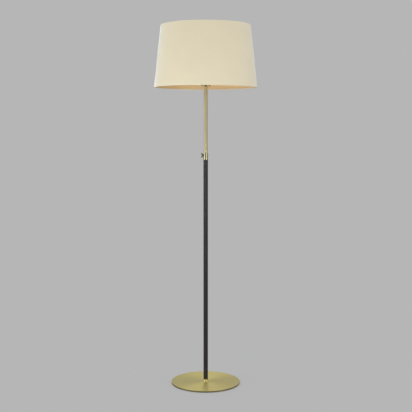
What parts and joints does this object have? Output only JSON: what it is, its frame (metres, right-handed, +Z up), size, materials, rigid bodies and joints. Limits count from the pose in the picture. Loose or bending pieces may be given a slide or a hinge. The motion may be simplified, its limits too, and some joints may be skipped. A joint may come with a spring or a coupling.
{
  "type": "telescopic floor lamp",
  "caption": "Floor lamp with a round brass plate, a sleeved stem, a sliding mast held by a wing screw, and a tapered fabric shade on a harp.",
  "frame": {"origin": "centre of the felt pad's underside, on the floor", "axes": "+Z up along the stem, -Y to the front, -X to the wing screw"},
  "size_m": [0.4494, 0.4494, 1.5797],
  "materials": {
    "brushed_brass": "circular brushed, satin lacquer",
    "polished_brass": "polished",
    "satin_brass": "satin",
    "dark_bronze": "dark bronze, satin",
    "zinc_steel": "zinc plated",
    "tinned_metal": "plain",
    "black_leather": "smooth, matt, stitched at the back",
    "felt": "felt",
    "black_rubber": "matt",
    "nylon": "natural nylon",
    "porcelain": "unglazed",
    "black_glass": "gloss",
    "white_plastic": "fine matt",
    "opal_plastic": "opal satin",
    "shade_fabric": "plain weave, laminated",
    "shade_lining": "matt, laminated",
    "white_wire": "satin"
  },
  "bodies": {
    "base": {"base_plate": "brushed_brass", "felt_pad": "felt", "lead_grommet": "black_rubber", "foot_bolt": "zinc_steel", "foot_plug": "zinc_steel", "foot_ring": "polished_brass", "outer_tube": "zinc_steel", "leather_sleeve": "black_leather", "upper_bush": "nylon", "clamp_collar": "polished_brass", "counter_screw": "dark_bronze"},
    "lift": {"lower_glide": "nylon"},
    "mast": {"inner_tube": "satin_brass", "tube_cap": "satin_brass", "nipple": "zinc_steel", "harp_saddle": "satin_brass", "saddle_locknut": "dark_bronze", "harp_bow": "satin_brass", "harp_stud": "satin_brass", "lampholder_cap": "satin_brass", "lampholder_shell": "satin_brass", "lampholder_insert": "porcelain", "terminal_screws": "satin_brass", "screw_shell": "satin_brass", "centre_contact": "satin_brass", "bulb_contact": "tinned_metal", "bulb_insulator": "black_glass", "bulb_screw_cap": "tinned_metal", "bulb_housing": "white_plastic", "bulb_globe": "opal_plastic", "finial_washer": "satin_brass", "finial": "polished_brass"},
    "clamp": {"clamp_pad": "nylon"},
    "wing": {"wing_screw": "dark_bronze"},
    "left_ferrule": {"ferrule_left": "dark_bronze"},
    "right_ferrule": {"ferrule_right": "dark_bronze"},
    "shade": {"shade_fabric": "shade_fabric", "shade_liner": "shade_lining", "shade_bottom_ring": "white_wire", "shade_top_ring": "white_wire", "spider_hub": "white_wire", "spider_arms": "white_wire"}
  },
  "joints": [
    {"name": "mast_lift", "type": "slide", "parent": "base", "child": "lift", "axis": [0, 0, 1], "range_m": [-0.285, 0.12]},
    {"name": "mast_turn", "type": "hinge", "parent": "lift", "child": "mast", "pos_m": [0, 0, 1.03], "axis": [0, 0, 1], "range_deg": [-180, 180]},
    {"name": "clamp_travel", "type": "slide", "parent": "base", "child": "clamp", "axis": [-1, 0, 0], "range_m": [0, 0.0017]},
    {"name": "wing_turn", "type": "hinge", "parent": "clamp", "child": "wing", "pos_m": [-0.012, 0, 1.018], "axis": [-1, 0, 0], "range_deg": [0, 720]},
    {"name": "left_ferrule_lift", "type": "slide", "parent": "mast", "child": "left_ferrule", "axis": [0, 0, 1], "range_m": [0, 0.0088]},
    {"name": "right_ferrule_lift", "type": "slide", "parent": "mast", "child": "right_ferrule", "axis": [0, 0, 1], "range_m": [0, 0.0088]},
    {"name": "shade_turn", "type": "hinge", "parent": "mast", "child": "shade", "pos_m": [0, 0, 1.5529], "axis": [0, 0, 1], "continuous": true}
  ],
  "couplings": [
    {"joint": "clamp_travel", "follows": "wing_turn", "m_per_rad": 0.00012732}
  ]
}
